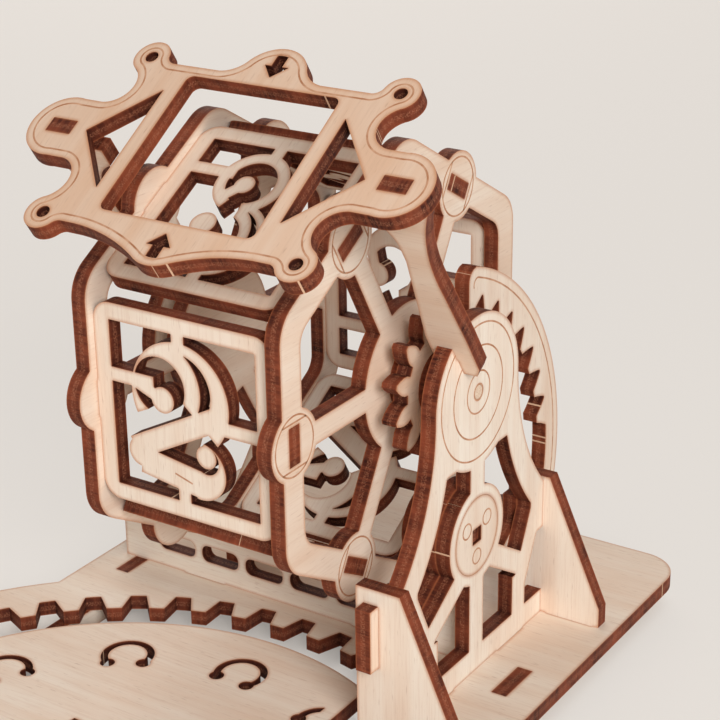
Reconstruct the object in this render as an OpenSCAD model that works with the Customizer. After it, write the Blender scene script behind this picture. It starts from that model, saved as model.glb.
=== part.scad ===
// Plywood puzzle: a six-sided drum turns in a frame when a toothed sector is swung over its pinion.
// Sizes in millimetres. X runs along the drum axle, Y to the back, Z up.
// The origin lies on the table, under the middle of the base plate.

/* [Sheet and fits] */
// thickness of the plywood sheet
ply = 3; // [2.6:0.1:3.4]
// play on each side of a tab in its slot
slot_play = 0.04; // [0.02:0.01:0.08]
// radial play of a round that turns in its hole
run_play = 0.05; // [0.02:0.01:0.08]

/* [Base] */
// height of the rails that lift the base off the table
rail_h = 4; // [3:0.5:10]
// distance of the rails from the middle
rail_x = 44; // [40:1:48]
// length of the tabs of a rail in the front band and the medallion
rail_tab = 4; // [3:0.2:6]
// outer radius of the round front of the base
base_r = 74; // [66:1:90]
// half width of the back of the base
base_half = 52; // [49:1:70]
// base behind the drum axle
base_back = 58; // [56:1:80]
// corner radius at the back
base_corner = 8; // [2:1:15]
// distance from the drum axle to the back of the round opening
ring_clear = 1.6; // [0.6:0.1:5.6]
// width of the band round the toothed opening
ring_band = 7.6; // [5:0.1:10]
// height of the teeth of the opening
ring_tooth_h = 4.8; // [3:0.2:5]
// number of teeth of the opening
ring_teeth = 46; // [30:1:60]
// width of a tooth of the opening at its tip
ring_tip_w = 3; // [2:0.1:4]
// width of a tooth of the opening at its foot
ring_foot_w = 6.6; // [5:0.1:7.5]
// margin of the base round the front foot of the right side plate
landing_rim = 3; // [2:0.5:6]
// gap between the medallion disc and that margin
landing_gap = 4.5; // [3:0.5:6]
// gap between the teeth of the opening and the medallion disc
disc_gap = 5.6; // [4:0.1:10]
// distance of the row of scrolls from the rim of the disc
scroll_in = 12; // [10:0.5:16]
// number of scrolls in the disc
scrolls = 12; // [6:1:14]
// radius of one scroll
scroll_r = 4.4; // [3:0.1:5]
// width of a cut scroll line
scroll_w = 1.4; // [1:0.1:2]
// number of petals in the middle of the disc
petals = 8; // [5:1:12]
// distance of the petals from the middle of the disc
petal_row = 16; // [12:0.5:20]
// radius of a petal's two arcs
petal_r = 10; // [8:0.5:14]
// half width of a petal
petal_half = 3; // [2:0.2:4]

/* [Side plates] */
// drum axle above the top of the base
axle_rise = 56; // [54:0.5:64]
// radius of the round head
head_r = 14.4; // [13:0.1:16]
// radius of the hollow curve of the legs
flare_r = 40; // [34:0.5:44]
// width of a leg along its curve
band_w = 5.5; // [4:0.1:6.5]
// half depth between the brackets
foot_half = 25.4; // [24:0.2:27]
// radius of the boss round the sector's disc
boss_r = 9.6; // [9:0.1:11]
// top of the openings below the drum axle
throat = 12.4; // [11.5:0.1:13]
// width of the neck under the head
throat_w = 23; // [20:0.2:26]
// width of the upright web
web_w = 5; // [4:0.1:6]
// width of the slanting spokes
spoke_w = 4.4; // [3:0.1:6]
// start of the spokes below the middle of the boss
spoke_drop = 3; // [1:0.2:5]
// end of the spokes above the knee of the legs
spoke_rise = 5; // [3:0.2:6]
// width of the lower posts
post_w = 5; // [4.6:0.1:6]
// distance of the posts from the middle
post_y = 16.1; // [15:0.1:18]
// height of the lower posts above the bottom band
post_rise = 8; // [6:0.2:10]
// height of the bottom band
sill_h = 5; // [3:0.2:7]
// length of the tabs into the base
foot_tab = 10; // [6:0.5:12]
// distance of those tabs from the middle
foot_tab_y = 8; // [7:0.5:10]

/* [Brackets and rail] */
// top of the brackets above the base
bracket_h = 29.2; // [26:0.2:32]
// reach of a bracket outside its side plate at the top
bracket_top = 1.3; // [0.5:0.1:4]
// base beside the foot of a bracket
toe_margin = 3.2; // [2:0.1:6]
// margin of the right brackets beside their slot
bracket_edge = 1.5; // [1:0.1:1.6]
// upright end of a bracket above the base
bracket_toe = 4; // [2:0.5:6]
// height of the tab through a right bracket
tab_h = 12; // [8:0.5:13]
// height of a side plate's shoulder at a bracket
shoulder_h = 7.6; // [5:0.2:9]
// rim of a bracket above its slot
tab_drop = 3; // [2:0.1:5]
// how far the tab stands out of the bracket
tab_out = 2.5; // [0:0.1:4]
// height of the rear rail
rear_h = 11.5; // [9:0.5:12]
// middle of the rear rail behind the drum axle
rear_y = 3; // [2:0.1:5]
// base beside the left end of the rear rail
rear_margin = 4; // [2:0.5:10]
// number of slots in the rear rail
rear_slots = 6; // [1:1:6]
// distance from slot to slot in the rear rail
rear_pitch = 10.8; // [10:0.1:12]
// length of a slot in the rear rail
rear_slot_len = 9; // [5:0.5:9.5]
// height of a slot in the rear rail
rear_slot_h = 3.6; // [3.2:0.2:5]
// corner radius of a slot in the rear rail
rear_slot_round = 1.5; // [0.5:0.1:1.5]

/* [Drum] */
// clear length between the end rings
panel_len = 37.4; // [34:0.2:42]
// distance of the panels' middle from the axle
lobe_row = 35; // [34.4:0.1:35.6]
// radius of a lobe of the end ring
lobe_r = 6.5; // [5.6:0.1:7]
// flats of the end ring from the axle, outside
ring_flat = 38.3; // [37.5:0.1:39]
// width of the end ring
ring_w = 5.7; // [5:0.1:7]
// corner radius of the end ring
ring_corner = 7; // [5:0.2:10]
// radius of the hub
hub_r = 13.8; // [12:0.1:15]
// width of the spokes of the end ring
arm_w = 4.4; // [3:0.1:6]
// width of a panel round the drum
panel_w = 37; // [35:0.2:37.6]
// width of a panel's frame along the rings
frame_w = 3.1; // [2:0.1:4]
// width of a panel's frame at its ends
frame_end = 3.4; // [2:0.1:4]
// corner radius of a panel
panel_corner = 3.6; // [2:0.1:5]
// width of a panel's tenon
tenon_w = 7; // [5:0.2:8]
// width of the bridges that hold the fretwork
bridge_w = 2.6; // [1.8:0.1:3]
// radius of the drum axle
axle_r = 1.25; // [1:0.05:1.6]
// radius of the plain discs on both sides of the pinion
spacer_r = 6; // [4:0.2:8]

/* [Gears] */
// module of the teeth
gear_module = 2; // [1.95:0.01:2.02]
// teeth of the pinion
pinion_teeth = 12; // [11:1:13]
// teeth that a full ring of the sector would have
sector_ring = 40; // [39:1:41]
// whole teeth of the sector
sector_teeth = 7; // [5:1:7]
// pressure angle
press_ang = 30; // [28:0.5:31]
// play between the flanks along the pitch line
tooth_play = 0.6; // [0.5:0.05:0.8]
// height of a pinion tooth above its pitch line
pinion_add = 1.6; // [1.3:0.05:1.7]
// depth of a pinion tooth below its pitch line
pinion_ded = 2.5; // [2.2:0.05:2.8]
// height of a sector tooth inside its pitch line
sector_add = 1.15; // [0.8:0.05:1.2]
// depth of a sector gap outside its pitch line
sector_ded = 2.4; // [2.2:0.05:2.5]
// wood outside the gaps of the sector
rim_w = 5; // [4:0.1:6]
// angle of the topmost gap of the sector above the level
gap_top = 67.4; // [66:0.2:68.6]
// upright end of the sector behind the middle of its peg
sector_end = 11.4; // [11:0.1:12]
// corner radius of that end
end_round = 2.5; // [1:0.1:3]
// angle of the lower end of the sector below the level
rim_low = 24; // [20:0.5:28]
// angle of the sector's arm below the level
arm_ang = 20; // [19:0.5:22]
// width of the sector's arm
sector_arm = 6.4; // [5:0.1:7]
// radius of the sector's hub
sector_hub = 7; // [5.5:0.2:8]
// end of the finger tab from the middle of the peg
finger_len = 48.5; // [46:0.5:51]
// radius of the end of the finger tab
finger_r = 4; // [3:0.1:4.5]
// radius of the spacer beside the sector
pin_spacer_r = 4.4; // [3.6:0.1:4.8]
// flat gap beside the turning pieces
side_gap = 0.5; // [0.4:0.05:0.8]
// flat gap between pinion and bearing plate
bearing_gap = 2.6; // [2.2:0.1:3.2]
// flat gap between drum and left side plate
left_gap = 2.3; // [1.8:0.1:3]
// radius of the discs that turn in the side plate and the bearing plate
cap_r = 7.5; // [6.8:0.05:7.8]
// how far the peg's end lies behind the outer disc's face
peg_sink = 0.6; // [0.2:0.1:1.5]

/* [Window] */
// angle of the window's axis above the level, to the front
window_ang = 57; // [54:0.5:62]
// top of the window plate from the drum axle
window_rise = 54.5; // [53:0.2:58]
// width of the window
window_w = 30.8; // [28:0.2:31]
// height of the window
window_h = 30.2; // [28:0.2:31]
// corner radius of the window
window_corner = 1.4; // [0.5:0.1:3]
// bar beside the window
window_bar = 3; // [2:0.1:4]
// back edge of the plate from its middle
plate_back = 17.1; // [16.6:0.1:18]
// front edge of the plate from its middle
plate_front = 18.9; // [17:0.1:19.4]
// radius of the crest over the arrow
crest_r = 6.6; // [5.5:0.1:7.5]
// middle of the crest above the plate's edge
crest_lift = 0.1; // [0:0.1:2]
// radius of the hollows beside the back crest
crest_cove = 5.5; // [4:0.1:6]
// radius of the long hollows beside the front crest
crest_sweep = 33; // [28:0.5:34]
// width of the arrow's head
arrow_w = 4.8; // [3:0.2:6]
// length of the arrow's head
arrow_head = 2.6; // [1.5:0.1:3]
// length of the arrow's shaft
arrow_shaft = 2.6; // [1.5:0.1:3.2]
// width of the arrow's shaft
arrow_line = 2.2; // [1:0.1:2.6]
// wood between window and arrow
arrow_gap = 2.1; // [1.5:0.1:3]
// radius of an ear
ear_r = 3.5; // [2.8:0.1:4]
// radius of the hole in an ear
ear_hole = 1.2; // [0.8:0.1:1.6]
// radius of the hollow between an ear and the plate's edge
ear_cove = 2; // [1:0.1:2.4]
// distance of the ears outside the window's bar
ear_out = 6.8; // [6:0.1:7.4]
// middle of the ears outside the plate's edge
ear_lift = 0.8; // [0:0.1:1.5]
// radius of the end lobes
end_r = 6.6; // [6:0.1:7.5]
// radius of the hollow between ear and end lobe
cove_r = 4.5; // [4:0.1:5]
// half width of the neck at the end lobe
neck_half = 6.5; // [5.8:0.1:6.5]
// length of the pointed opening beside the bar
point_len = 9.6; // [6:0.1:9.8]
// height of the pointed opening
point_h = 22.2; // [16:0.2:24]
// width of the legs' tenons in the window plate
leg_tenon = 5.2; // [4:0.1:6]
// middle of the legs' tenons outside the middle of the side plate
leg_tenon_x = 3.3; // [3:0.1:3.6]
// width of a leg outside the middle of the side plate
leg_out = 5.2; // [4.8:0.1:6]
// the same at the leg's waist
leg_waist = 4.5; // [4:0.1:4.7]
// height of the knee under the waist
leg_knee = 17; // [15:0.5:20]
// height of the waist
leg_mid = 33; // [28:0.5:36]
// radius of the long outer flare
leg_flare = 40; // [36:0.5:60]
// inner edge of the neck from the middle of the side plate
leg_neck = 0.1; // [0:0.1:0.4]
// bottom of the neck
neck_low = 37; // [34:0.5:39]
// start of the inner flare
neck_top = 40; // [39:0.5:42]
// radius of the inner flare
neck_flare = 8.5; // [7:0.1:9]
// reach of the inner flare
neck_reach = 5; // [3:0.1:6]
// inner prong of the right leg from the middle of the side plate
leg_in = 3.1; // [2.6:0.1:3.2]
// slanting toe of a prong
leg_toe = 2; // [1:0.1:3]
// end of the legs' prongs from the axle
leg_tip = 7.4; // [6.5:0.1:8]
// bottom of the notch in the head for a leg
leg_seat = 11.2; // [10:0.1:12]

/* [Hidden] */
$fn = 64;
birch = [0.9, 0.8, 0.68];
stick = [0.85, 0.72, 0.55];
over = 1;

// stations along the axle
ring_out = panel_len / 2 + ply;
pinion_x = ring_out + ply;
sector_x = pinion_x;
bearing_x = pinion_x + ply + bearing_gap;
right_in = bearing_x + ply;
right_out = right_in + ply;
left_in = -(ring_out + left_gap);
left_out = left_in - ply;
mid_x = (right_out + left_out) / 2;
plate_half = (right_out - left_out - ply) / 2;
spacer_len = bearing_gap - side_gap;

// heights and depths
base_top = rail_h + ply;
axle_z = base_top + axle_rise;
ring_root = base_r - ring_band;
ring_back = ring_root + ring_clear;
axle_y = (ring_back + base_r - base_back) / 2;
disc_r = ring_root - ring_tooth_h - disc_gap;
scroll_row = disc_r - scroll_in;
bracket_foot = base_half - toe_margin - right_out;
pivot_z = -gear_module * (sector_ring - pinion_teeth) / 2;
tab_top = bracket_h - tab_drop - axle_rise;
tab_low = tab_top - tab_h;
tab_mid = tab_top - tab_h / 2;
glue_play = 0.02;
lap = 2;
hollow_lap = 0.03;
tab_end = foot_half + ply + tab_out;

// gear circles
pinion_pitch = gear_module * pinion_teeth / 2;
pinion_tip = pinion_pitch + pinion_add;
pinion_root = pinion_pitch - pinion_ded;
sector_pitch = gear_module * sector_ring / 2;
sector_tip = sector_pitch - sector_add;
sector_root = sector_pitch + sector_ded;
sector_rim = sector_root + rim_w;
tooth_step = 360 / sector_ring;
pinion_turn = 90 - (90 - gap_top) * sector_ring / pinion_teeth;
gap_low = gap_top - sector_teeth * tooth_step;

// window plate
bar_out = window_w / 2 + window_bar;
ear_x = bar_out + ear_out;
ear_y = plate_back + ear_lift;
end_x = plate_half + leg_tenon_x;
crest_y = plate_back + crest_lift;
arrow_tip = window_h / 2 + arrow_gap;

// helpers for plates that stand, lie or lean

module at_axle() {
    translate([0, axle_y, axle_z])
        children();
}

// drawn in Y and Z, thick along X
module in_side(x0, thick = ply) {
    translate([x0, 0, 0])
        rotate([90, 0, 90])
            linear_extrude(height = thick)
                children();
}

// drawn in X and Z, thick along Y
module in_front(y0, thick = ply) {
    translate([0, y0 + thick, 0])
        rotate([90, 0, 0])
            linear_extrude(height = thick)
                children();
}

module both() {
    children();
    mirror([1, 0])
        children();
}

module round_rect(w, h, r) {
    square([w - 2 * r, h], center = true);
    square([w, h - 2 * r], center = true);
    for (sx = [-1, 1], sy = [-1, 1])
        translate([sx * (w / 2 - r), sy * (h / 2 - r)])
            circle(r);
}

module strip(x0, y0, x1, y1, w) {
    len = norm([x1 - x0, y1 - y0]);
    translate([x0, y0])
        rotate(atan2(y1 - y0, x1 - x0))
            translate([0, -w / 2])
                square([len, w]);
}

module tab_slot(w, h) {
    square([w + 2 * slot_play, h + 2 * slot_play], center = true);
}

module dot(x, y, r) {
    translate([x, y])
        circle(r);
}

// part of a flat ring, turned counter-clockwise from a0 to a1
module arc_band(x, y, r_in, r_out, a0, a1) {
    reach = 2 * r_out;
    steps = ceil((a1 - a0) / 60);
    fan = [for (i = [0:steps]) on_circle(reach, a0 + (a1 - a0) * i / steps)];
    translate([x, y])
        intersection() {
            difference() {
                circle(r_out);
                circle(r_in);
            }
            polygon(concat([[0, 0]], fan));
        }
}

module round_hex(flat, r) {
    core = flat - r;
    side = 2 * core * tan(30);
    for (a = [0, 60, 120])
        rotate(a)
            square([2 * flat, side], center = true);
    for (a = [0:60:300])
        rotate(a + 30)
            translate([core / cos(30), 0])
                circle(r);
}

function inv_deg(a) = tan(a) * 180 / PI - a;
function flank_deg(r, rb) = inv_deg(acos(min(1, rb / r)));
function on_circle(r, a) = [r * cos(a), r * sin(a)];

// base

module ring_tooth() {
    polygon([
        [ring_root + over, -ring_foot_w / 2],
        [ring_root - ring_tooth_h, -ring_tip_w / 2],
        [ring_root - ring_tooth_h, ring_tip_w / 2],
        [ring_root + over, ring_foot_w / 2]
    ]);
}

module toothed_opening() {
    difference() {
        circle(ring_root);
        for (i = [0:ring_teeth - 1])
            rotate(90 + (i + 0.5) * 360 / ring_teeth)
                ring_tooth();
    }
}

// solid part of the base under the front foot of the right side plate
module landing(grow) {
    near = -foot_half - ply - landing_rim - grow;
    translate([bearing_x - landing_rim - grow, near])
        square([base_r, -near]);
}

// slots in the base for the tabs of the standing plates
module plate_slot(x0, y0) {
    translate([x0 - slot_play, y0 - slot_play])
        square([ply + 2 * slot_play, foot_tab + 2 * slot_play]);
}

module bracket_slot(x_mid, y0) {
    translate([x_mid - foot_tab / 2 - slot_play, y0 - slot_play])
        square([foot_tab + 2 * slot_play, ply + 2 * slot_play]);
}

bracket_mid_right = right_out + bracket_foot / 2;
bracket_mid_left = left_out - bracket_foot / 2;

// tabs of the rails, as places along Y and lengths; those in the disc lie between two scrolls
ring_chord = sqrt(pow(ring_root, 2) - pow(rail_x, 2));
rim_chord = sqrt(pow(base_r, 2) - pow(rail_x, 2));
disc_tab_y = rail_x * tan(180 / scrolls);
rail_front = -ring_back - (rim_chord + ring_chord) / 2;
rail_tabs = [
    [rail_front, rail_tab],
    [-ring_back - disc_tab_y, rail_tab],
    [-ring_back + disc_tab_y, rail_tab],
    [0, foot_tab]
];

module rail_slots() {
    for (s = [-1, 1], t = rail_tabs)
        translate([s * rail_x - ply / 2 - slot_play, t[0] - t[1] / 2 - slot_play])
            square([ply + 2 * slot_play, t[1] + 2 * slot_play]);
}

module base_outline() {
    translate([0, -ring_back])
        circle(base_r);
    translate([-base_half, -ring_back])
        square([2 * base_half, ring_back + base_back - base_corner]);
    translate([-base_half + base_corner, -ring_back])
        square([2 * (base_half - base_corner), ring_back + base_back]);
    for (s = [-1, 1])
        dot(s * (base_half - base_corner), base_back - base_corner, base_corner);
}

module base_plate() {
    color(birch)
        translate([0, axle_y, rail_h])
            linear_extrude(height = ply)
                difference() {
                    base_outline();
                    difference() {
                        translate([0, -ring_back])
                            toothed_opening();
                        landing(0);
                    }
                    plate_slot(right_in, -foot_tab_y - foot_tab);
                    plate_slot(right_in, foot_tab_y);
                    plate_slot(left_out, foot_tab_y);
                    bracket_slot(bracket_mid_right, -foot_half - ply);
                    bracket_slot(bracket_mid_right, foot_half);
                    bracket_slot(bracket_mid_left, foot_half);
                    rail_slots();
                    rear_rail_slots();
                }
}

// one scroll: an open ring line that ends in round eyes
module scroll_cut() {
    arc_band(0, 0, scroll_r - scroll_w / 2, scroll_r + scroll_w / 2, -40, 220);
    for (a = [-40, 220])
        dot(scroll_r * cos(a), scroll_r * sin(a), scroll_w);
}

module petal() {
    reach = petal_r - petal_half;
    intersection() {
        dot(0, reach, petal_r);
        dot(0, -reach, petal_r);
    }
}

module fretwork_cuts() {
    translate([0, -ring_back]) {
        for (i = [0:scrolls - 1])
            rotate(90 + i * 360 / scrolls)
                translate([scroll_row, 0])
                    rotate(-90)
                        scroll_cut();
        for (i = [0:petals - 1])
            rotate(i * 360 / petals)
                translate([petal_row, 0])
                    petal();
    }
}

// disc with a plain margin along its cut-out for the landing
module medallion() {
    color(birch)
        translate([0, axle_y, rail_h])
            linear_extrude(height = ply)
                difference() {
                    dot(0, -ring_back, disc_r);
                    difference() {
                        fretwork_cuts();
                        landing(landing_gap + landing_rim);
                    }
                    landing(landing_gap);
                    rail_slots();
                }
}

// rail under base and disc, with tabs up into both
module runner(s) {
    color(birch)
        translate([0, axle_y, 0])
            in_side(s * rail_x - ply / 2) {
                translate([-ring_back - rim_chord + ply, 0])
                    square([ring_back + rim_chord + base_back - base_corner - ply, rail_h]);
                for (t = rail_tabs)
                    translate([t[0] - t[1] / 2, 0])
                        square([t[1], base_top]);
            }
}

// side plates

module leg_notch() {
    rotate(180 - window_ang)
        translate([leg_seat, -ply / 2 - slot_play])
            square([head_r, ply + 2 * slot_play]);
}

// upright bar about a middle line
module upright(mid, w, z0, h) {
    translate([mid - w / 2, z0])
        square([w, h]);
}

module leg_body(s) {
    difference() {
        upright(s * foot_half / 2, foot_half, -axle_rise, axle_rise);
        dot(s * (head_r + flare_r), 0, flare_r);
    }
}

shoulder_y = foot_half - post_w / 2;
knee_z = -axle_rise + sill_h + post_w;
ankle_z = knee_z + spoke_rise;

// front (s = -1) or back (s = 1) half of the frame: leg, shoulder at the bracket, shin, post and foot
module side_half(s) {
    intersection() {
        leg_body(s);
        union() {
            dot(s * (head_r + flare_r), 0, flare_r + band_w);
            upright(s * shoulder_y, post_w, tab_top - shoulder_h, shoulder_h + lap);
        }
    }
    strip(s * shoulder_y, tab_top - lap, s * post_y, knee_z, post_w);
    upright(s * post_y, post_w, -axle_rise, sill_h + post_rise);
    upright(s * (foot_tab_y + foot_half) / 2, foot_half - foot_tab_y, -axle_rise, sill_h);
    upright(s * (foot_tab_y + foot_tab / 2), foot_tab, -axle_rise - ply, ply + over);
}

module spoke(s) {
    strip(0, pivot_z - spoke_drop, s * post_y, ankle_z, spoke_w);
}

// bearing head with its notch for a window leg
module head_cuts() {
    circle(axle_r + run_play);
    leg_notch();
}

module side_plate_shape() {
    difference() {
        union() {
            circle(head_r);
            upright(0, web_w, -axle_rise, axle_rise);
            upright(0, 2 * foot_half, -axle_rise, sill_h);
            upright(0, throat_w, -throat, throat);
            dot(0, pivot_z, boss_r);
            for (s = [-1, 1]) {
                spoke(s);
                side_half(s);
            }
        }
        head_cuts();
    }
}

module side_plate_right() {
    color(birch)
        at_axle()
            in_side(right_in)
                difference() {
                    side_plate_shape();
                    dot(0, pivot_z, cap_r + run_play);
                }
}

// tab through a bracket, from a little inside the shoulder
module end_tab(s, inside, z0, h) {
    start = foot_half - inside;
    upright(s * (start + tab_end) / 2, tab_end - start, z0, h);
}

// the left plate stands on its back leg alone, so the base stays open in front of it
module side_plate_left() {
    color(birch)
        at_axle()
            in_side(left_out) {
                difference() {
                    union() {
                        circle(head_r);
                        side_half(1);
                    }
                    head_cuts();
                }
                end_tab(1, over, tab_top - shoulder_h, shoulder_h);
            }
}

// inner bearing of the sector, with tabs through the right brackets
module bearing_plate() {
    color(birch)
        at_axle()
            in_side(bearing_x)
                difference() {
                    union() {
                        dot(0, pivot_z, boss_r);
                        for (s = [-1, 1]) {
                            spoke(s);
                            strip(s * (post_y - over), ankle_z, s * shoulder_y, tab_mid, spoke_w);
                            end_tab(s, post_w, tab_low, tab_h);
                        }
                    }
                    dot(0, pivot_z, cap_r + run_play);
                }
}

// bracket outline, X counted outward from the outer face of the side plate
module bracket_shape(inner, slot_from, slot_h) {
    top = bracket_h - axle_rise;
    difference() {
        union() {
            polygon([
                [-inner, -axle_rise],
                [bracket_foot, -axle_rise],
                [bracket_foot, bracket_toe - axle_rise],
                [bracket_top, top],
                [-inner, top]
            ]);
            translate([bracket_foot / 2 - foot_tab / 2, -axle_rise - ply])
                square([foot_tab, ply + over]);
        }
        translate([slot_from - slot_play, tab_top - slot_h - slot_play])
            square([ply + 2 * slot_play, slot_h + 2 * slot_play]);
    }
}

module bracket_right(y0) {
    color(birch)
        at_axle()
            translate([right_out, 0, 0])
                in_front(y0)
                    bracket_shape(2 * ply + bracket_edge, -2 * ply, tab_h);
}

module bracket_back_left() {
    color(birch)
        at_axle()
            translate([left_out, 0, 0])
                mirror([1, 0, 0])
                    in_front(foot_half)
                        bracket_shape(ply, -ply, shoulder_h);
}

// rear rail across the base, from its left edge to the right side plate

rear_left = rear_margin - base_half;
rear_len = right_in - rear_left;
rear_mid = (right_in + rear_left) / 2;
rear_tabs = [for (s = [-1, 1]) rear_mid + s * rear_len / 4 - foot_tab / 2];

module rear_rail_slots() {
    for (x0 = rear_tabs)
        translate([x0 - slot_play, rear_y - ply / 2 - slot_play])
            square([foot_tab + 2 * slot_play, ply + 2 * slot_play]);
}

module rear_rail() {
    color(birch)
        at_axle()
            in_front(rear_y - ply / 2)
                difference() {
                    union() {
                        translate([rear_left, -axle_rise])
                            square([rear_len, rear_h]);
                        for (x0 = rear_tabs)
                            translate([x0, -axle_rise - ply])
                                square([foot_tab, ply + over]);
                    }
                    translate([rear_mid - (rear_slots - 1) / 2 * rear_pitch, rear_h / 2 - axle_rise])
                        for (i = [0:rear_slots - 1])
                            translate([i * rear_pitch, 0])
                                round_rect(rear_slot_len, rear_slot_h, rear_slot_round);
                }
}

// window plate and its legs

module lean() {
    rotate([90 - window_ang, 0, 0])
        children();
}

// wood between a round on the plate's edge and the hollow of radius f beside it, to side s
module cove_fill(x, y, r, foot, edge, f, s) {
    cy = edge + f;
    cx = x + s * sqrt(pow(r + f, 2) - pow(cy - y, 2));
    difference() {
        polygon(s > 0
            ? [[foot, 0], [cx, 0], [cx, cy], [x, y]]
            : [[cx, 0], [foot, 0], [x, y], [cx, cy]]);
        dot(cx, cy, f + hollow_lap);
    }
}

module arrow() {
    neck = arrow_tip + arrow_head;
    polygon([
        [0, arrow_tip],
        [arrow_w / 2, neck],
        [arrow_line / 2, neck],
        [arrow_line / 2, neck + arrow_shaft],
        [-arrow_line / 2, neck + arrow_shaft],
        [-arrow_line / 2, neck],
        [-arrow_w / 2, neck]
    ]);
}

module fore_aft() {
    children();
    mirror([0, 1])
        children();
}

// one long side of the plate: its edge, crest and two ears
module plate_side(edge, hollow) {
    foot = ear_x - ear_r;
    translate([-foot, 0])
        square([2 * foot, edge]);
    dot(0, crest_y, crest_r);
    for (s = [-1, 1])
        cove_fill(0, crest_y, crest_r, 0, edge, hollow, s);
    both() {
        dot(ear_x, ear_y, ear_r);
        cove_fill(ear_x, ear_y, ear_r, foot, edge, ear_cove, -1);
        cove_fill(ear_x, ear_y, ear_r, foot, neck_half, cove_r, 1);
    }
}

module window_outline() {
    plate_side(plate_back, crest_cove);
    mirror([0, 1])
        plate_side(plate_front, crest_sweep);
    square([2 * end_x, 2 * neck_half], center = true);
    for (s = [-1, 1])
        dot(s * end_x, 0, end_r);
}

module window_plate() {
    color(birch)
        at_axle()
            lean()
                translate([mid_x, 0, window_rise - ply])
                    linear_extrude(height = ply)
                        difference() {
                            window_outline();
                            round_rect(window_w, window_h, window_corner);
                            fore_aft()
                                arrow();
                            both() {
                                polygon([
                                    [bar_out, point_h / 2],
                                    [bar_out + point_len, 0],
                                    [bar_out, -point_h / 2]
                                ]);
                                for (s = [-1, 1])
                                    dot(ear_x, s * ear_y, ear_hole);
                                translate([end_x, 0])
                                    tab_slot(leg_tenon, ply);
                            }
                        }
}

// leg outline, X outward from the middle of the side plate, Y along the window's axis
module leg_shape(inner) {
    top = window_rise - ply;
    slot = ply + 2 * slot_play;
    difference() {
        union() {
            polygon([
                [slot / 2, leg_tip],
                [leg_out - leg_toe / 2, leg_tip],
                [leg_out, leg_tip + leg_toe],
                [leg_out, leg_knee],
                [leg_waist, leg_mid],
                [leg_waist + leg_out, leg_mid],
                [leg_waist + leg_out, top],
                [leg_neck - neck_reach, top],
                [leg_neck - neck_reach, neck_top],
                [leg_neck, neck_top],
                [leg_neck, neck_low],
                [-inner, head_r + lap],
                [-inner, leg_tip + leg_toe]
            ]);
            translate([leg_tenon_x - leg_tenon / 2, top - over])
                square([leg_tenon, ply + over]);
        }
        dot(leg_waist + leg_flare, leg_mid, leg_flare);
        dot(leg_neck - neck_flare, neck_top, neck_flare);
        translate([-slot / 2, 0])
            square([slot, leg_seat]);
    }
}

module leg(inner) {
    lean()
        in_front(-ply / 2)
            leg_shape(inner);
}

module window_leg_right() {
    color(birch)
        at_axle()
            translate([right_in + ply / 2, 0, 0])
                leg(leg_in);
}

module window_leg_left() {
    color(birch)
        at_axle()
            translate([left_in - ply / 2, 0, 0])
                mirror([1, 0, 0])
                    leg(ply / 2);
}

// drum

module ring_shape() {
    difference() {
        union() {
            round_hex(ring_flat, ring_corner);
            for (a = [0:60:300])
                rotate(a)
                    dot(lobe_row, 0, lobe_r);
        }
        difference() {
            round_hex(ring_flat - ring_w, ring_corner - ring_w / 2);
            circle(hub_r);
            for (a = [0:60:300])
                rotate(a) {
                    strip(0, 0, lobe_row, 0, arm_w);
                    dot(lobe_row, 0, lobe_r);
                }
        }
        for (a = [0:60:300])
            rotate(a)
                translate([lobe_row, 0])
                    tab_slot(ply, tenon_w);
        circle(axle_r + glue_play);
    }
}

module drum_ring(x0) {
    color(birch)
        at_axle()
            in_side(x0)
                ring_shape();
}

// inside half sizes of a panel's frame
open_x = panel_len / 2 - frame_end;
open_z = panel_w / 2 - frame_w;

// bridges from the fretwork to the frame, at x on top and foot and at z on left and right
module bridges(mid, left, right, reach) {
    translate([mid - bridge_w / 2, reach])
        square([bridge_w, open_z - reach + over]);
    translate([mid - bridge_w / 2, -open_z - over])
        square([bridge_w, open_z - reach + over]);
    translate([-open_x - over, left - bridge_w / 2])
        square([open_x + over - reach / 2, bridge_w]);
    translate([reach / 2, right - bridge_w / 2])
        square([open_x + over - reach / 2, bridge_w]);
}

// scroll with a ball in its bow, a slanting stroke and a volute at the right below
module long_scroll() {
    difference() {
        arc_band(-0.7, 3.7, 0, 10.3, -42, 205);
        dot(-5, 5.2, 5.4);
        difference() {
            dot(-0.85, 5.35, 6.7);
            dot(-4.8, 5.3, 8.5);
        }
    }
    dot(-4.4, 2.8, 2.4);
    strip(-10.8, 5.4, -4.4, 2.8, 2.4);
    strip(6.4, 1.5, -11, -7.5, 4.2);
    dot(-9.6, -8, 2.8);
    strip(-9.6, -9.4, 3, -11.3, 5.2);
    difference() {
        arc_band(3, -8.7, 0, 5.4, -100, 80);
        dot(4.4, -6.4, 2.6);
    }
    dot(4.4, -5.8, 2.1);
    bridges(-0.6, 5.4, 0.3, 12.4);
}

// double scroll: a closed volute above and an open bow below, each with its ball
module double_scroll() {
    arc_band(-2.1, 6.9, 4.8, 7.1, -80, 245);
    dot(-3.2, 6.3, 2);
    strip(-3.2, 6.3, -5.6, 3.4, 2.4);
    difference() {
        arc_band(-1, -6, 0, 8.4, -170, 90);
        dot(-2.4, -5.4, 4.5);
        difference() {
            dot(-1, -5.6, 6.5);
            dot(-3.4, -5.6, 7.6);
        }
    }
    dot(-5.9, -3.6, 2.5);
    strip(-7.2, -8.4, -6.2, -3.6, 2.4);
    bridges(-0.8, 8.4, -4.6, 12.6);
}

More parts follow.
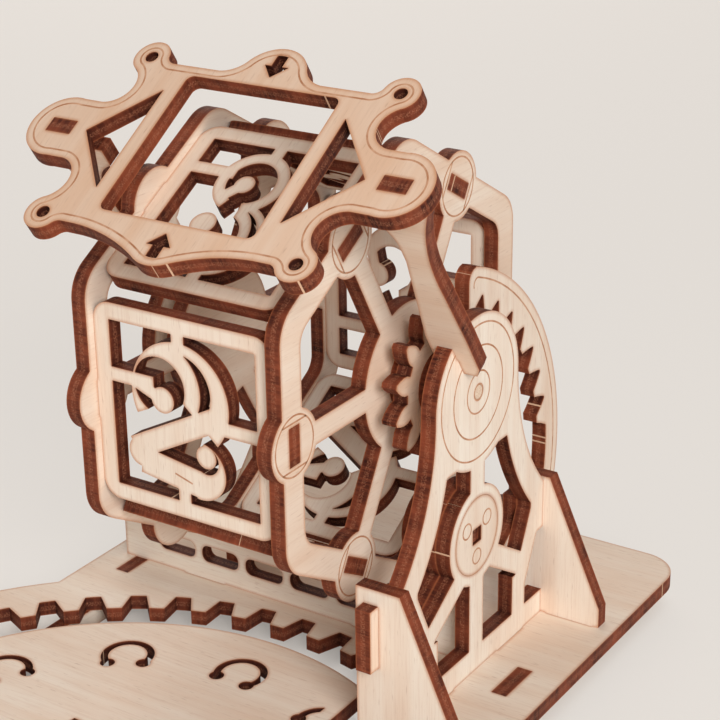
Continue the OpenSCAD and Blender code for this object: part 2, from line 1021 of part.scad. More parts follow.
module panel(turn, kind) {
    color(birch)
        at_axle()
            rotate([-turn, 0, 0])
                in_front(-lobe_row - ply / 2) {
                    difference() {
                        round_rect(panel_len, panel_w, panel_corner);
                        square([2 * open_x, 2 * open_z], center = true);
                    }
                    if (kind == 0)
                        long_scroll();
                    else
                        double_scroll();
                    square_tenons();
                }
}

module square_tenons() {
    for (s = [-1, 1])
        translate([s * (panel_len + ply - over) / 2, 0])
            square([ply + over, tenon_w], center = true);
}

// the drum turns on a short stick at each end
module drum_axle() {
    color(stick)
        at_axle()
            in_side(panel_len / 2, right_out - panel_len / 2)
                circle(axle_r);
}

module axle_stub_left() {
    color(stick)
        at_axle()
            in_side(left_out, -panel_len / 2 - left_out)
                circle(axle_r);
}

module axle_spacer() {
    color(birch)
        at_axle()
            in_side(pinion_x + ply)
                difference() {
                    circle(spacer_r);
                    circle(axle_r + glue_play);
                }
}

// gears

pinion_base = pinion_pitch * cos(press_ang);
sector_base = sector_pitch * cos(press_ang);
play_deg = tooth_play / 4 * 180 / PI;
flank_steps = 4;

function pinion_half(r) = 90 / pinion_teeth - play_deg / pinion_pitch
    + inv_deg(press_ang) - flank_deg(max(r, pinion_base), pinion_base);
function gap_half(r) = 90 / sector_ring + play_deg / sector_pitch
    + inv_deg(press_ang) - flank_deg(r, sector_base);
function step_r(r0, r1, k) = r0 + (r1 - r0) * k / flank_steps;

module pinion_shape() {
    points = [
        for (i = [0:pinion_teeth - 1], k = [0:2 * flank_steps + 1])
            let (
                mid = pinion_turn + i * 360 / pinion_teeth,
                up = k <= flank_steps,
                r = step_r(pinion_root, pinion_tip, up ? k : 2 * flank_steps + 1 - k)
            )
            on_circle(r, mid + (up ? -1 : 1) * pinion_half(r))
    ];
    difference() {
        polygon(points);
        circle(axle_r + glue_play);
    }
}

module pinion_outer() {
    color(birch)
        at_axle()
            in_side(pinion_x)
                pinion_shape();
}

// plain disc, which keeps the teeth clear of the drum
module pinion_inner() {
    color(birch)
        at_axle()
            in_side(ring_out)
                difference() {
                    circle(spacer_r);
                    circle(axle_r + glue_play);
                }
}

module sector_gap_cut(mid) {
    low = sector_tip - over;
    polygon([
        for (k = [0:2 * flank_steps + 1])
            let (
                up = k <= flank_steps,
                r = step_r(low, sector_root, up ? k : 2 * flank_steps + 1 - k)
            )
            on_circle(r, mid + (up ? -1 : 1) * gap_half(r))
    ]);
}

module on_pin() {
    translate([0, pivot_z])
        children();
}

// square hole for the peg
module peg_hole() {
    square(ply + 2 * glue_play, center = true);
}

// upper end of the sector: upright, with its outer corner rounded
module sector_end_shape() {
    corner = sector_end + end_round;
    corner_z = sqrt(pow(sector_rim - end_round, 2) - pow(corner, 2));
    translate([corner, 0])
        square(sector_rim);
    translate([sector_end, 0])
        square([end_round + over, corner_z]);
    dot(corner, corner_z, end_round);
}

module sector_shape() {
    end_mid = (sector_root + sector_rim) / 2;
    difference() {
        union() {
            difference() {
                intersection() {
                    arc_band(0, 0, sector_tip, sector_rim, gap_low, 90);
                    sector_end_shape();
                }
                for (i = [0:sector_teeth])
                    sector_gap_cut(gap_low + i * tooth_step);
            }
            arc_band(0, 0, sector_root, sector_rim, -rim_low, gap_low + 1);
            rotate(-rim_low)
                dot(end_mid, 0, rim_w / 2);
            rotate(-arm_ang) {
                strip(0, 0, sector_rim - over, 0, sector_arm);
                strip(sector_root, 0, finger_len, 0, 2 * finger_r);
                dot(finger_len, 0, finger_r);
            }
            circle(sector_hub);
        }
        peg_hole();
    }
}

module sector() {
    color(birch)
        at_axle()
            in_side(sector_x)
                on_pin()
                    sector_shape();
}

// square peg that carries the sector, its spacer and its two discs
module sector_pin() {
    color(stick)
        at_axle()
            in_side(sector_x, right_out - peg_sink - sector_x)
                on_pin()
                    square(ply, center = true);
}

module disc_on_peg(x0, r, thick = ply) {
    color(birch)
        at_axle()
            in_side(x0, thick)
                on_pin()
                    difference() {
                        circle(r);
                        peg_hole();
                    }
}

base_plate();
medallion();
runner(-1);  // runner_left
runner(1);  // runner_right
side_plate_left();
side_plate_right();
bearing_plate();
bracket_right(-foot_half - ply);  // bracket_front_right
bracket_right(foot_half);  // bracket_back_right
bracket_back_left();
rear_rail();
window_plate();
window_leg_left();
window_leg_right();
drum_ring(-ring_out);  // drum_ring_left
drum_ring(panel_len / 2);  // drum_ring_right
panel(0, 0);  // panel_front
panel(60, 1);  // panel_front_top
panel(120, 0);  // panel_back_top
panel(180, 1);  // panel_back
panel(240, 0);  // panel_back_low
panel(300, 1);  // panel_front_low
drum_axle();
axle_stub_left();
axle_spacer();
pinion_inner();
pinion_outer();
sector();
sector_pin();
disc_on_peg(sector_x + ply, pin_spacer_r, spacer_len);  // sector_spacer
disc_on_peg(bearing_x, cap_r);  // bearing_disc
disc_on_peg(right_in, cap_r);  // peg_cap
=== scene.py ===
import math

import bmesh
import bpy
from mathutils import Matrix, Vector


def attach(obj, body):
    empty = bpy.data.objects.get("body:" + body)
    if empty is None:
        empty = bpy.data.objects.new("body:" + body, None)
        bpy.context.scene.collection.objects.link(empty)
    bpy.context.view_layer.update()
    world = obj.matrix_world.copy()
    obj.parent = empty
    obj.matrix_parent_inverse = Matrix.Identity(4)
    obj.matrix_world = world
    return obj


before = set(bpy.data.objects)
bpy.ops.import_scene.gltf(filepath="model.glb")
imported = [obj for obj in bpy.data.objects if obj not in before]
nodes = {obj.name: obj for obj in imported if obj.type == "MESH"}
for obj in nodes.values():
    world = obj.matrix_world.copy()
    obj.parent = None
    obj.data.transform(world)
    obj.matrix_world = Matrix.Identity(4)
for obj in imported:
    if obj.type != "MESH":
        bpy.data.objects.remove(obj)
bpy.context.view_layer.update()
mm = 0.001
axle = Vector((0, 42, 63)) * mm     # drum axle, where it crosses X = 0
peg = Vector((0, 42, 35)) * mm      # square peg that the sector swings on
lean = 57                           # the window's axis above the level, to the front, in degrees
flatEnough = 0.9                    # cosine above which a face is square to its sheet's axis, so no cut
nearRays = 8                        # rays with which a material feels for walls close by
print("frame loaded:", len(nodes), "pieces")


def linear(hexText):
    channels = [int(hexText[i:i + 2], 16) / 255 for i in (1, 3, 5)]
    return [c / 12.92 if c <= 0.04045 else ((c + 0.055) / 1.055) ** 2.4 for c in channels] + [1.0]


def addNode(tree, kind, settings=None, inputs=None):
    node = tree.nodes.new(kind)
    for key, value in (settings or {}).items():
        setattr(node, key, value)
    for socket, source in (inputs or {}).items():
        if isinstance(source, bpy.types.NodeSocket):
            tree.links.new(source, node.inputs[socket])
        else:
            node.inputs[socket].default_value = source
    return node


def outward(degrees):
    # level to the front at 0, straight up at 90
    angle = math.radians(degrees)
    return Vector((0, -math.cos(angle), math.sin(angle)))


# how each sheet lies: across the sheet, and the way its face grain runs
alongX, alongY, alongZ = Vector((1, 0, 0)), Vector((0, 1, 0)), Vector((0, 0, 1))
outAxis = outward(lean)
slopeAxis = outAxis.cross(alongX)
sheets = {
    "base_plate": (alongZ, alongX), "medallion": (alongZ, alongX),
    "runner_left": (alongX, alongY), "runner_right": (alongX, alongY),
    "side_plate_left": (alongX, alongZ), "side_plate_right": (alongX, alongZ),
    "bearing_plate": (alongX, alongZ), "bracket_front_right": (alongY, alongZ),
    "bracket_back_right": (alongY, alongZ), "bracket_back_left": (alongY, alongZ),
    "rear_rail": (alongY, alongX), "window_plate": (outAxis, slopeAxis),
    "window_leg_left": (slopeAxis, alongX), "window_leg_right": (slopeAxis, alongX),
    "drum_ring_left": (alongX, alongY), "drum_ring_right": (alongX, alongY),
    "axle_spacer": (alongX, alongY), "pinion_inner": (alongX, alongZ),
    "pinion_outer": (alongX, alongY), "sector": (alongX, alongZ),
    "sector_pin": (alongY, alongX), "sector_spacer": (alongX, alongZ),
    "bearing_disc": (alongX, alongY), "peg_cap": (alongX, alongZ),
}
panelTurns = {"panel_front": 0, "panel_front_top": 60, "panel_back_top": 120,
              "panel_back": 180, "panel_back_low": 240, "panel_front_low": 300}
for name, turn in panelTurns.items():
    sheets[name] = (outward(turn), outward(turn).cross(alongX))
sticks = ["drum_axle", "axle_stub_left"]


def sheetFrame(name):
    # local X along the grain, Z across the sheet from its lower face
    across, grain = sheets[name]
    turn = Matrix((grain, across.cross(grain), across)).transposed()
    start = min(v.co.dot(across) for v in nodes[name].data.vertices)
    return across * start, turn.to_euler()


def newWood(label, look):
    material = bpy.data.materials.new(label)
    material.use_nodes = True
    shader = material.node_tree.nodes["Principled BSDF"]
    shader.inputs["Roughness"].default_value = look["roughness"]
    shader.inputs["Specular IOR Level"].default_value = look["specular"]
    return material, material.node_tree, shader


def grainNoise(tree, grain, place=Vector((0, 0, 0)), turn=(0, 0, 0)):
    # noise of a real size in mm, along the sheet that place and turn give
    where = addNode(tree, "ShaderNodeMapping", {"vector_type": "TEXTURE"}, {
        "Vector": addNode(tree, "ShaderNodeTexCoord").outputs["Object"],
        "Location": place + alongX * grain.get("shift", 0) * mm,
        "Rotation": turn, "Scale": Vector(grain["size"]) * mm})
    return addNode(tree, "ShaderNodeTexNoise", {}, {
        "Vector": where.outputs[0], "Scale": 1.0,
        "Detail": grain["detail"], "Roughness": grain["harsh"]}).outputs[0]


def layOver(tree, under, value, layer):
    # a layer's colour, stronger as the value goes from its first limit to its second
    low, high = layer["limits"]
    share = addNode(tree, "ShaderNodeMapRange", {}, {
        "Value": value, "From Min": low, "From Max": high, "To Max": layer["share"]})
    return addNode(tree, "ShaderNodeMix", {"data_type": "RGBA"}, {
        0: share.outputs[0], 6: under, 7: linear(layer["colour"])}).outputs[2]


def finishWood(tree, shader, wood, height, look):
    tree.links.new(wood, shader.inputs["Base Color"])
    bump = addNode(tree, "ShaderNodeBump", {}, {
        "Height": height, "Strength": look["bump"], "Distance": look["bumpDepth"] * mm})
    tree.links.new(bump.outputs[0], shader.inputs["Normal"])


# birch plywood, sanded: a pale veneer with faint fibres and growth bands, some sheets rosier than others, partly
# their own tone and partly painted shade on sheets that face away from the lamps, most of all the window plate
# and its legs, and toasted along every cut; real fibres are finer, and these are as coarse as they need to be to
# show
faceLook = {
    "pale": "#F3EADD", "rosy": "#DDB99D", "roughness": 0.6, "specular": 0.3, "bump": 0.2, "bumpDepth": 0.05,
    "bands": {"size": (120, 5, 5), "detail": 2, "harsh": 0.55, "shift": 40,
              "limits": (0.32, 0.68), "share": 0.32},
    "clouds": {"size": (22, 14, 14), "detail": 2, "harsh": 0.55, "shift": 90,
               "limits": (0.35, 0.7), "share": 0.2},
    "fibres": {"size": (9, 0.4, 0.4), "detail": 3, "harsh": 0.55, "shift": 0,
               "limits": (0.5, 0.8), "share": 0.34, "colour": "#CAA88F"},
    "flecks": {"size": (2.2, 0.28, 0.28), "detail": 0, "harsh": 0.55, "shift": 15,
               "limits": (0.72, 0.84), "share": 0.3, "colour": "#A57D63"},
    "toast": {"reach": 0.8, "limits": (0.96, 0.5), "share": 0.7, "colour": "#BA7442"},
    # rosier tone per sheet: partly each sheet's own tone, partly painted shade on the window plate, its legs and
    # other sheets that face away from the lamps
    "rosierAndPaintedShade": {"window_plate": 0.6, "window_leg_left": 0.3, "window_leg_right": 0.3, "pinion_outer": 0.4,
               "pinion_inner": 0.3, "medallion": 0.16, "base_plate": 0.12, "drum_ring_left": 0.15,
               "drum_ring_right": 0.22, "panel_back": 0.15, "panel_front_top": 0.18, "bearing_plate": 0.2,
               "sector": 0.14, "peg_cap": 0.2},
}


def sandedFace(name):
    material, tree, shader = newWood("birch_ply_sanded." + name, faceLook)
    place, turn = sheetFrame(name)
    tones = []
    # the sheet's least rosiness, which is in part painted shade
    for key, least in (("bands", faceLook["rosierAndPaintedShade"].get(name, 0.0)), ("clouds", 0.0)):
        layer = faceLook[key]
        low, high = layer["limits"]
        tones.append(addNode(tree, "ShaderNodeMapRange", {}, {
            "Value": grainNoise(tree, layer, place, turn), "From Min": low, "From Max": high,
            "To Min": least, "To Max": least + layer["share"]}).outputs[0])
    both = addNode(tree, "ShaderNodeMath", {"operation": "ADD", "use_clamp": True}, {0: tones[0], 1: tones[1]})
    wood = addNode(tree, "ShaderNodeMix", {"data_type": "RGBA"}, {
        0: both.outputs[0], 6: linear(faceLook["pale"]), 7: linear(faceLook["rosy"])}).outputs[2]
    fibres = grainNoise(tree, faceLook["fibres"], place, turn)
    wood = layOver(tree, wood, fibres, faceLook["fibres"])
    wood = layOver(tree, wood, grainNoise(tree, faceLook["flecks"], place, turn), faceLook["flecks"])
    # the nearness of a cut, felt from inside the sheet
    rim = addNode(tree, "ShaderNodeAmbientOcclusion", {"samples": nearRays, "inside": True, "only_local": True}, {
        "Distance": faceLook["toast"]["reach"] * mm})
    wood = layOver(tree, wood, rim.outputs["AO"], faceLook["toast"])
    finishWood(tree, shader, wood, fibres, faceLook)
    return material


# the same plywood where the laser cut it: baked red brown and faintly streaked straight through the sheet,
# smooth in the two outer veneers, open-pored in the middle one, with painted shade darkening it inside narrow
# cuts and close to other parts of the same piece, with a rare pale nick where it broke from its sheet; real pores
# are finer, and these are as coarse as they need to be to show
edgeLook = {
    "char": "#321009", "roughness": 0.68, "specular": 0.22, "bump": 0.4, "bumpDepth": 0.1, "poreSink": -1.2,
    "brown": {"size": (7, 7, 5), "detail": 3, "harsh": 0.6,
              "limits": (0.32, 0.66), "share": 1.0, "colour": "#833F28"},
    "streaks": {"size": (0.55, 0.55, 9), "detail": 2, "harsh": 0.6,
                "limits": (0.42, 0.74), "share": 0.52, "colour": "#985035"},
    # painted shade: char colour laid over the edge inside narrow cuts and close to other parts of the same piece
    "paintedShadeInCuts": {"reach": 14, "limits": (0.9, 0.5), "share": 0.85, "colour": "#321009"},
    # a sheet has three veneers of 1 mm, and these two limits count veneers from its middle
    "veneer": 1.0, "veneers": 3, "middleLimits": (0.56, 0.44),
    "rim": {"limits": (1.2, 1.5), "share": 0.6, "colour": "#AA633F"},
    "pores": {"size": (0.2, 0.2, 0.3), "detail": 1, "harsh": 0.6,
              "limits": (0.42, 0.72), "share": 0.6, "colour": "#AA6F53"},
    "nicks": {"every": 29, "width": 0.32, "colour": "#D5B092", "size": (31, 31, 900), "detail": 0, "harsh": 0.6,
              "above": 0.56, "facetShift": (0.013, 0.017, 0.011), "facetStep": (0.05, 0.05, 0.05)},
}


def laserEdge(name):
    material, tree, shader = newWood("birch_ply_laser_edge." + name, edgeLook)
    place, turn = sheetFrame(name)
    point = addNode(tree, "ShaderNodeTexCoord").outputs["Object"]
    streaks = grainNoise(tree, edgeLook["streaks"], place, turn)
    wood = layOver(tree, linear(edgeLook["char"]),
                   grainNoise(tree, edgeLook["brown"], place, turn), edgeLook["brown"])
    wood = layOver(tree, wood, streaks, edgeLook["streaks"])
    # painted shade: the edge darkens to char where other parts of the same piece lie close by
    cutShade = addNode(tree, "ShaderNodeAmbientOcclusion", {"samples": nearRays, "only_local": True}, {
        "Distance": edgeLook["paintedShadeInCuts"]["reach"] * mm})
    wood = layOver(tree, wood, cutShade.outputs["AO"], edgeLook["paintedShadeInCuts"])
    # veneers counted through the sheet, and then from its middle
    depth = addNode(tree, "ShaderNodeMapping", {"vector_type": "TEXTURE"}, {
        "Vector": point, "Location": place, "Rotation": turn,
        "Scale": Vector((1, 1, edgeLook["veneer"])) * mm})
    depth = addNode(tree, "ShaderNodeSeparateXYZ", {}, {0: depth.outputs[0]})
    fromMiddle = addNode(tree, "ShaderNodeMath", {"operation": "SUBTRACT"}, {
        0: depth.outputs[2], 1: edgeLook["veneers"] / 2})
    fromMiddle = addNode(tree, "ShaderNodeMath", {"operation": "ABSOLUTE"}, {0: fromMiddle.outputs[0]}).outputs[0]
    # open pores in the middle veneer
    pores = edgeLook["pores"]
    inMiddle = addNode(tree, "ShaderNodeMapRange", {}, {
        "Value": fromMiddle, "From Min": edgeLook["middleLimits"][0], "From Max": edgeLook["middleLimits"][1]})
    openPores = addNode(tree, "ShaderNodeMapRange", {}, {
        "Value": grainNoise(tree, pores, place, turn),
        "From Min": pores["limits"][0], "From Max": pores["limits"][1], "To Max": pores["share"]})
    openPores = addNode(tree, "ShaderNodeMath", {"operation": "MULTIPLY"}, {
        0: inMiddle.outputs[0], 1: openPores.outputs[0]}).outputs[0]
    wood = addNode(tree, "ShaderNodeMix", {"data_type": "RGBA"}, {
        0: openPores, 6: wood, 7: linear(pores["colour"])}).outputs[2]
    # a lighter, hazy line where the cut meets the face
    wood = layOver(tree, wood, fromMiddle, edgeLook["rim"])
    # nicks cross the edge squarely, at steps along the cut that start anew on each facet
    nicks = edgeLook["nicks"]
    facing = addNode(tree, "ShaderNodeVectorTransform", {
        "vector_type": "NORMAL", "convert_from": "WORLD", "convert_to": "OBJECT"}, {
        0: addNode(tree, "ShaderNodeNewGeometry").outputs["True Normal"]}).outputs[0]
    alongCut = addNode(tree, "ShaderNodeVectorMath", {"operation": "CROSS_PRODUCT"}, {
        0: facing, 1: sheets[name][0]})
    walked = addNode(tree, "ShaderNodeVectorMath", {"operation": "DOT_PRODUCT"}, {
        0: point, 1: alongCut.outputs[0]})
    steps = addNode(tree, "ShaderNodeMath", {"operation": "DIVIDE"}, {
        0: walked.outputs["Value"], 1: nicks["every"] * mm})
    facet = addNode(tree, "ShaderNodeVectorMath", {"operation": "ADD"}, {0: facing, 1: nicks["facetShift"]})
    facet = addNode(tree, "ShaderNodeVectorMath", {"operation": "SNAP"}, {
        0: facet.outputs[0], 1: nicks["facetStep"]})
    chance = addNode(tree, "ShaderNodeTexWhiteNoise", {}, {"Vector": facet.outputs[0]})
    steps = addNode(tree, "ShaderNodeMath", {"operation": "ADD"}, {
        0: steps.outputs[0], 1: chance.outputs["Value"]})
    steps = addNode(tree, "ShaderNodeMath", {"operation": "FRACT"}, {0: steps.outputs[0]})
    thin = addNode(tree, "ShaderNodeMath", {"operation": "COMPARE"}, {   # halfway along each step
        0: steps.outputs[0], 1: 0.5, 2: nicks["width"] / nicks["every"] / 2})
    rare = addNode(tree, "ShaderNodeMath", {"operation": "GREATER_THAN"}, {
        0: grainNoise(tree, nicks, place, turn), 1: nicks["above"]})
    thin = addNode(tree, "ShaderNodeMath", {"operation": "MULTIPLY"}, {0: thin.outputs[0], 1: rare.outputs[0]})
    wood = addNode(tree, "ShaderNodeMix", {"data_type": "RGBA"}, {
        0: thin.outputs[0], 6: wood, 7: linear(nicks["colour"])}).outputs[2]
    rough = addNode(tree, "ShaderNodeMath", {"operation": "MULTIPLY_ADD"}, {
        0: openPores, 1: edgeLook["poreSink"], 2: streaks})
    finishWood(tree, shader, wood, rough.outputs[0], edgeLook)
    return material


# birch stick, turned: long straight fibres round it, and pale open grain where its end was snipped
stickLook = {
    "roughness": 0.6, "specular": 0.3, "bump": 0.3, "bumpDepth": 0.06,
    "side": {"size": (14, 0.25, 0.25), "detail": 3, "harsh": 0.5, "limits": (0.35, 0.75), "share": 1.0,
             "under": "#E4C9AA", "colour": "#B98C66"},
    "end": {"size": (0.2, 0.2, 0.2), "detail": 3, "harsh": 0.5, "limits": (0.35, 0.75), "share": 1.0,
            "under": "#EBD9C5", "colour": "#CDA98B"},
}


def turnedStick(part, label):
    material, tree, shader = newWood(label, stickLook)
    fibres = grainNoise(tree, stickLook[part])
    wood = layOver(tree, linear(stickLook[part]["under"]), fibres, stickLook[part])
    finishWood(tree, shader, wood, fibres, stickLook)
    return material


for name in sheets:
    mesh = nodes[name].data
    mesh.materials.clear()
    mesh.materials.append(sandedFace(name))
    mesh.materials.append(laserEdge(name))
    for polygon in mesh.polygons:
        polygon.material_index = 0 if abs(polygon.normal.dot(sheets[name][0])) > flatEnough else 1
stickSide = turnedStick("side", "birch_stick_turned")
stickEnd = turnedStick("end", "birch_stick_snipped_end")
for name in sticks:
    mesh = nodes[name].data
    mesh.materials.clear()
    mesh.materials.append(stickSide)
    mesh.materials.append(stickEnd)
    for polygon in mesh.polygons:
        polygon.material_index = 1 if abs(polygon.normal.x) > flatEnough else 0
print("materials on", len(sheets), "sheet pieces and", len(sticks), "sticks")


# birch plywood, laser engraved: a shallow baked groove, unevenly brown along its way,
# made as a hair-thin strip let into the sheet's face
lineLook = {
    "width": 0.32, "proud": 0.02, "thick": 0.05, "weld": 0.0001, "ringSteps": 96, "fewestSteps": 6,
    "roughness": 0.7, "specular": 0.2, "dark": "#AF7855",
    "patches": {"size": (2.4, 2.4, 2.4), "detail": 3, "harsh": 0.5, "limits": (0.35, 0.65), "share": 1.0,
                "colour": "#CFA284"},
}
groove, grooveTree, grooveShader = newWood("birch_ply_engraved", lineLook)
burnt = layOver(grooveTree, linear(lineLook["dark"]),
                grainNoise(grooveTree, lineLook["patches"]), lineLook["patches"])
grooveTree.links.new(burnt, grooveShader.inputs["Base Color"])


def finishLine(bm, name, body, out):
    bmesh.ops.remove_doubles(bm, verts=bm.verts, dist=lineLook["weld"] * mm)
    bm.normal_update()
    bmesh.ops.reverse_faces(bm, faces=[f for f in bm.faces if f.normal.dot(out) < 0])
    bmesh.ops.solidify(bm, geom=list(bm.faces), thickness=lineLook["thick"] * mm)
    mesh = bpy.data.meshes.new(name)
    bm.to_mesh(mesh)
    bm.free()
    piece = bpy.data.objects.new(name, mesh)
    bpy.context.scene.collection.objects.link(piece)
    mesh.materials.append(groove)
    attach(piece, body)


def onFace(axis, faceX, side=1):
    # where an axis along X comes out of a face, a hair above it
    return axis + alongX * side * (faceX + lineLook["proud"]) * mm


def spoke(degrees):
    # level to the back at 0, straight up at 90
    angle = math.radians(degrees)
    return Vector((0, math.cos(angle), math.sin(angle)))


def lineStart(bm, middle, toSide):
    half = toSide.normalized() * lineLook["width"] * mm / 2
    ends = [bm.verts.new(middle - half), bm.verts.new(middle + half)]
    return ends + [bm.edges.new(ends)]


def ringLine(bm, centre, radius, turn=360, start=0):
    row = lineStart(bm, centre + spoke(start) * radius * mm, spoke(start))
    bmesh.ops.spin(bm, geom=row, cent=centre, axis=alongX, angle=math.radians(turn),
                   steps=max(lineLook["fewestSteps"], int(turn / 360 * lineLook["ringSteps"])),
                   use_merge=turn >= 360)


def straightLine(bm, start, end, normal=alongX):
    row = lineStart(bm, start, (end - start).cross(normal))
    grown = bmesh.ops.extrude_edge_only(bm, edges=row[2:])
    moved = [g for g in grown["geom"] if isinstance(g, bmesh.types.BMVert)]
    bmesh.ops.translate(bm, verts=moved, vec=end - start)


# right side plate: rings round the axle, the smallest at the rim of its hole
sideRings = {"radii": (1.5, 3.9, 8.5, 12.6), "faceX": 36.3}
bm = bmesh.new()
for radius in sideRings["radii"]:
    ringLine(bm, onFace(axle, sideRings["faceX"]), radius)
finishLine(bm, "side_plate_rings", "frame", alongX)

# disc on the peg, in the right side plate: three small circles
capMarks = {"radius": 1.45, "row": 4.2, "angles": (32, 148, 270), "faceX": 36.3}
bm = bmesh.new()
for angle in capMarks["angles"]:
    ringLine(bm, onFace(peg, capMarks["faceX"]) + spoke(angle) * capMarks["row"] * mm, capMarks["radius"])
finishLine(bm, "peg_cap_marks", "lever", alongX)

# drum rings: a circle on each lobe, and a line across it past each end of the slot
lobeMarks = {"lobes": 6, "row": 35, "radius": 5.4, "slotEnd": 4.2, "faceX": 21.7}
halfChord = math.sqrt(lobeMarks["radius"] ** 2 - lobeMarks["slotEnd"] ** 2)
for side, label in ((1, "right"), (-1, "left")):
    bm = bmesh.new()
    for i in range(lobeMarks["lobes"]):
        out = spoke(360 / lobeMarks["lobes"] * i)
        lobe = onFace(axle, lobeMarks["faceX"], side) + out * lobeMarks["row"] * mm
        ringLine(bm, lobe, lobeMarks["radius"])
        for slotSide in (-1, 1):
            middle = lobe + alongX.cross(out) * slotSide * lobeMarks["slotEnd"] * mm
            straightLine(bm, middle - out * halfChord * mm, middle + out * halfChord * mm)
    finishLine(bm, "drum_ring_marks_" + label, "drum", side * alongX)

# sector: a line along the rim with a small hook at its top end
sectorLine = {"radius": 45.5, "from": -21, "to": 71, "hook": 1.3, "hookTurn": 130, "faceX": 27.7}
bm = bmesh.new()
pegFace = onFace(peg, sectorLine["faceX"])
ringLine(bm, pegFace, sectorLine["radius"], sectorLine["to"] - sectorLine["from"], sectorLine["from"])
hook = pegFace + spoke(sectorLine["to"]) * (sectorLine["radius"] - sectorLine["hook"]) * mm
ringLine(bm, hook, sectorLine["hook"], sectorLine["hookTurn"], sectorLine["to"])
finishLine(bm, "sector_rim_line", "lever", alongX)

# window plate: one line inside its whole outline
windowLine = {"inside": 1.25, "weld": 0.001, "level": 0.01}
bm = bmesh.new()
bm.from_mesh(nodes["window_plate"].data)
bmesh.ops.remove_doubles(bm, verts=bm.verts, dist=windowLine["weld"] * mm)
topLevel = max(v.co.dot(outAxis) for v in bm.verts)
below = [f for f in bm.faces if f.normal.dot(outAxis) < flatEnough
         or topLevel - f.calc_center_median().dot(outAxis) > windowLine["level"] * mm]
bmesh.ops.delete(bm, geom=below, context="FACES")
rims, done = [], set()
for first in [e for e in bm.edges if e.is_boundary]:
    rim, waiting = [], [first]
    while waiting:
        edge = waiting.pop()
        if edge in done:
            continue
        done.add(edge)
        rim.append(edge)
        for v in edge.verts:
            waiting += [e for e in v.link_edges if e.is_boundary and e not in done]
    if rim:
        rims.append(rim)
outline = set(max(rims, key=lambda rim: max(v.co.x for e in rim for v in e.verts)))   # the widest rim
corners = {v for e in outline for v in e.verts}
bmesh.ops.delete(bm, geom=list(bm.faces), context="FACES_ONLY")
bmesh.ops.delete(bm, geom=[e for e in bm.edges if e not in outline], context="EDGES")
bmesh.ops.delete(bm, geom=[v for v in bm.verts if v not in corners], context="VERTS")
sheet = bmesh.ops.contextual_create(bm, geom=list(bm.edges))["faces"]
bmesh.ops.inset_region(bm, faces=sheet, thickness=windowLine["inside"] * mm,
                       use_even_offset=True, use_boundary=True)
bmesh.ops.delete(bm, geom=[f for f in bm.faces if f not in sheet], context="FACES")
ribbon = bmesh.ops.inset_region(bm, faces=sheet, thickness=lineLook["width"] * mm,
                                use_even_offset=True, use_boundary=True)["faces"]
bmesh.ops.delete(bm, geom=[f for f in bm.faces if f not in ribbon], context="FACES")
bmesh.ops.translate(bm, verts=bm.verts, vec=outAxis * lineLook["proud"] * mm)
finishLine(bm, "window_plate_line", "frame", outAxis)

# panels with the long scroll: a short slit beside its foot
slit = {"from": (-2.5, -10.4), "to": (1.2, -11.5), "out": 36.5,
        "panels": ("panel_front", "panel_back_top", "panel_back_low")}
for name in slit["panels"]:
    out, grain = sheets[name]
    bm = bmesh.new()
    start, end = [axle + (alongX * x + grain * y + out * (slit["out"] + lineLook["proud"])) * mm
                  for x, y in (slit["from"], slit["to"])]
    straightLine(bm, start, end, out)
    finishLine(bm, name + "_slit", "drum", out)
print("engraved lines done")


# floor that turns up into a backdrop, both pale and plain
stageLook = {"floor": "#DAD5D0", "roughness": 0.9, "half": 1.6, "bend": 0.5, "bendSteps": 24,
             "seen": "#EFEAE4", "seenShare": 0.7, "underShare": 0.2, "underReach": 11, "underLimits": (0.05, 0.6)}
bm = bmesh.new()
half, bend = stageLook["half"], stageLook["bend"]
front = [bm.verts.new((-half, -half, 0)), bm.verts.new((half, -half, 0))]
grown = bmesh.ops.extrude_edge_only(bm, edges=[bm.edges.new(front)])["geom"]
rear = [g for g in grown if isinstance(g, bmesh.types.BMVert)]
bmesh.ops.translate(bm, verts=rear, vec=(0, 2 * half, 0))
bmesh.ops.spin(bm, geom=rear + [g for g in grown if isinstance(g, bmesh.types.BMEdge)],
               cent=(0, half, bend), axis=alongX, angle=math.radians(90), steps=stageLook["bendSteps"])
mesh = bpy.data.meshes.new("stage")
bm.to_mesh(mesh)
bm.free()
stage = bpy.data.objects.new("stage", mesh)
bpy.context.scene.collection.objects.link(stage)
paper = bpy.data.materials.new("matt_paper_rolled")
paper.use_nodes = True
paperTree = paper.node_tree
paperShader = paperTree.nodes["Principled BSDF"]
paperShader.inputs["Base Color"].default_value = linear(stageLook["floor"])
paperShader.inputs["Roughness"].default_value = stageLook["roughness"]
# the camera sees the paper evenly pale, and still some of the shadow on it, most of all close under the wood
ray = addNode(paperTree, "ShaderNodeLightPath")
looked = addNode(paperTree, "ShaderNodeMath", {"operation": "MAXIMUM"}, {
    0: ray.outputs["Is Camera Ray"], 1: ray.outputs["Is Glossy Ray"]})
roof = addNode(paperTree, "ShaderNodeAmbientOcclusion", {"samples": nearRays}, {
    "Distance": stageLook["underReach"] * mm})
share = addNode(paperTree, "ShaderNodeMapRange", {}, {
    "Value": roof.outputs["AO"],
    "From Min": stageLook["underLimits"][0], "From Max": stageLook["underLimits"][1],
    "To Min": stageLook["underShare"], "To Max": stageLook["seenShare"]})
share = addNode(paperTree, "ShaderNodeMath", {"operation": "MULTIPLY"}, {
    0: looked.outputs[0], 1: share.outputs[0]})
even = addNode(paperTree, "ShaderNodeEmission", {}, {"Color": linear(stageLook["seen"]), "Strength": 1.0})
mixed = addNode(paperTree, "ShaderNodeMixShader", {}, {
    0: share.outputs[0], 1: paperShader.outputs[0], 2: even.outputs[0]})
paperTree.links.new(mixed.outputs[0], paperTree.nodes["Material Output"].inputs["Surface"])
mesh.materials.append(paper)
for polygon in mesh.polygons:
    polygon.use_smooth = True

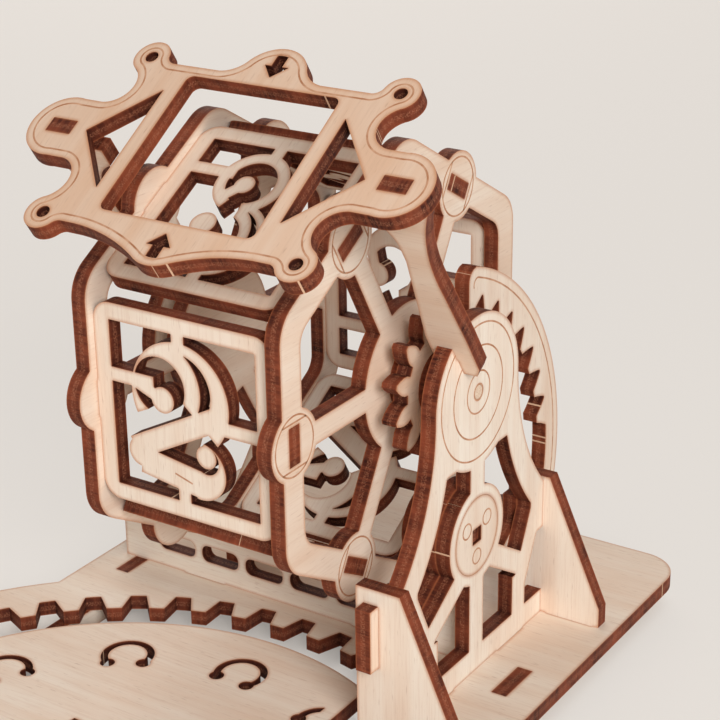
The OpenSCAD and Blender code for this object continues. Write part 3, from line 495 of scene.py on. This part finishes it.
# soft daylight: an even sky, a window at the front right, weak ones from the left and the back
dayLook = {"sky": "#FBF2EA", "strength": 0.24, "aim": (0, 0.03, 0.06)}
lamps = {
    "windowKey": {"place": (0.62, -0.5, 0.46), "size": 0.45, "power": 7.4, "colour": "#FFFCF9"},
    "leftFill": {"place": (-0.6, -0.5, 0.45), "size": 0.8, "power": 1.2, "colour": "#FFFAF5"},
    "backFill": {"place": (-0.5, 0.7, 0.5), "size": 0.8, "power": 3.0, "colour": "#FFF5EC"},
}
world = bpy.data.worlds.new("soft_day")
bpy.context.scene.world = world
world.use_nodes = True
skyTree = world.node_tree
sky = skyTree.nodes["Background"]
sky.inputs["Color"].default_value = linear(dayLook["sky"])
sky.inputs["Strength"].default_value = dayLook["strength"]
# past the edge of the paper the camera sees the same pale tone
beyond = addNode(skyTree, "ShaderNodeBackground", {}, {"Color": linear(stageLook["seen"]), "Strength": 1.0})
skyRay = addNode(skyTree, "ShaderNodeLightPath")
skyMix = addNode(skyTree, "ShaderNodeMixShader", {}, {
    0: skyRay.outputs["Is Camera Ray"], 1: sky.outputs[0], 2: beyond.outputs[0]})
skyTree.links.new(skyMix.outputs[0], skyTree.nodes["World Output"].inputs["Surface"])
for label, lamp in lamps.items():
    light = bpy.data.lights.new(label, "AREA")
    light.shape = "DISK"
    light.size = lamp["size"]
    light.energy = lamp["power"]
    light.color = linear(lamp["colour"])[:3]
    holder = bpy.data.objects.new(label, light)
    holder.location = lamp["place"]
    holder.rotation_euler = (Vector(dayLook["aim"]) - holder.location).to_track_quat("-Z", "Y").to_euler()
    bpy.context.scene.collection.objects.link(holder)

# camera as the photograph was taken: close, from the front right, a little above
view = {"place": (0.18589, -0.22246, 0.19430), "right": (0.8381, 0.5454, -0.0134),
        "up": (-0.1975, 0.3262, 0.9244), "lens": 95, "sensor": 36, "nearest": 0.01}
camera = bpy.data.cameras.new("camera")
camera.lens = view["lens"]
camera.sensor_width = view["sensor"]
camera.sensor_fit = "HORIZONTAL"
camera.clip_start = view["nearest"]
eye = bpy.data.objects.new("camera", camera)
rightWay = Vector(view["right"]).normalized()
backWay = rightWay.cross(Vector(view["up"])).normalized()
upWay = backWay.cross(rightWay)
turned = Matrix((rightWay, upWay, backWay)).transposed().to_4x4()
eye.matrix_world = Matrix.Translation(view["place"]) @ turned
bpy.context.scene.collection.objects.link(eye)
bpy.context.scene.camera = eye
bpy.context.scene.view_settings.view_transform = "Standard"
print("stage, light and camera set")
